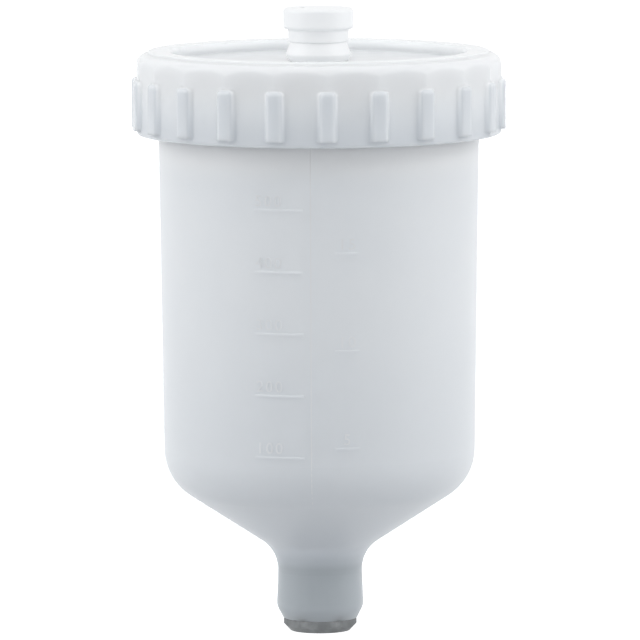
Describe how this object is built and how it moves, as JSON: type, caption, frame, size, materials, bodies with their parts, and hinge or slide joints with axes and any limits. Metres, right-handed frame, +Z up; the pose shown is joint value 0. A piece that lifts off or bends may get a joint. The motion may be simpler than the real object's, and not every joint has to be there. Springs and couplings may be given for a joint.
{
  "type": "gravity feed paint cup with screw lid",
  "caption": "Translucent round paint cup with a cone bottom, a threaded outlet insert, a ribbed screw lid and a pull-off vent cap.",
  "frame": {"origin": "centre of the outlet insert's lower end, on the cup's upright axis", "axes": "+Z up the cup's axis towards the lid, -Y the front with the marks, +X to the right of the front"},
  "size_m": [0.1074, 0.1076, 0.1801],
  "materials": {
    "cup_plastic": "milky translucent, satin gloss",
    "insert_metal": "turned, dull",
    "gasket_foam": "matt closed-cell foam",
    "lid_plastic": "milky translucent, satin gloss",
    "vent_plastic": "opaque white, satin"
  },
  "bodies": {
    "cup": {"cup_body": "cup_plastic", "outlet_insert": "insert_metal"},
    "seal": {"lid_gasket": "gasket_foam"},
    "screw_lid": {"lid": "lid_plastic", "vent_base": "vent_plastic"},
    "vent_button": {"vent_cap": "vent_plastic"}
  },
  "joints": [
    {"name": "lid_lift", "type": "slide", "parent": "cup", "child": "seal", "axis": [0, 0, 1], "range_m": [0, 0.036]},
    {"name": "lid_turn", "type": "hinge", "parent": "seal", "child": "screw_lid", "pos_m": [0, 0, 0.165], "axis": [0, 0, 1], "range_deg": [0, 540]},
    {"name": "vent_pull", "type": "slide", "parent": "screw_lid", "child": "vent_button", "axis": [0, 0, 1], "range_m": [0, 0.012]}
  ],
  "couplings": [
    {"joint": "lid_turn", "follows": "lid_lift", "rad_per_m": 261.8}
  ]
}
